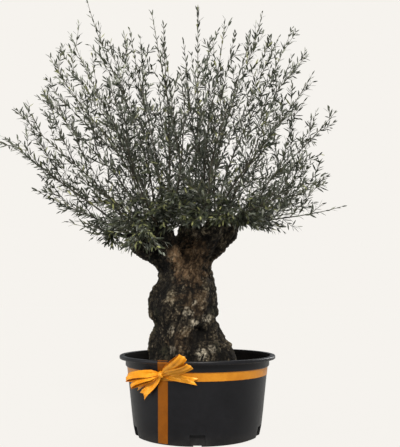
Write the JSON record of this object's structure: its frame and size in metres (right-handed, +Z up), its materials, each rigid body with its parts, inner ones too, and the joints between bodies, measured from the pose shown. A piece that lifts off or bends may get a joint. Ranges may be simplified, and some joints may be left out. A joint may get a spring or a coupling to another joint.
{
  "type": "olive bonsai tree",
  "caption": "Old olive grown as a garden bonsai: gnarled trunk, sawn-back limbs and a wide crown of narrow leaves, in a round black container tied with a ribbon and bow.",
  "frame": {"origin": "centre of the container's base, on the surface it stands on", "axes": "+Z up, -Y towards the front, where the bow is, +X to the right of that view"},
  "size_m": [2.4271, 1.9022, 3.01],
  "materials": {
    "container": "satin",
    "soil": "matte",
    "bark": "matte",
    "foliage": "matte",
    "ribbon": "satin"
  },
  "bodies": {
    "root": {"pot": "container", "soil": "soil", "trunk": "bark", "ribbon_strip": "ribbon", "ribbon_band": "ribbon", "bow": "ribbon", "bow_knot": "ribbon", "leafy_branch_01": "foliage", "leafy_branch_02": "foliage", "leafy_branch_03": "foliage", "leafy_branch_04": "foliage", "leafy_branch_05": "foliage", "leafy_branch_06": "foliage", "leafy_branch_07": "foliage", "leafy_branch_08": "foliage", "leafy_branch_09": "foliage", "leafy_branch_10": "foliage", "leafy_branch_11": "foliage", "leafy_branch_12": "foliage", "leafy_branch_13": "foliage", "leafy_branch_14": "foliage", "leafy_branch_15": "foliage", "leafy_branch_16": "foliage", "leafy_branch_17": "foliage", "leafy_branch_18": "foliage", "leafy_branch_19": "foliage", "leafy_branch_20": "foliage", "leafy_branch_21": "foliage", "leafy_branch_22": "foliage", "leafy_branch_23": "foliage", "leafy_branch_24": "foliage", "leafy_branch_25": "foliage", "leafy_branch_26": "foliage", "leafy_branch_27": "foliage", "leafy_branch_28": "foliage", "leafy_branch_29": "foliage", "leafy_branch_30": "foliage", "leafy_branch_31": "foliage", "leafy_branch_32": "foliage", "leafy_branch_33": "foliage", "leafy_branch_34": "foliage", "leafy_branch_35": "foliage"}
  },
  "joints": []
}
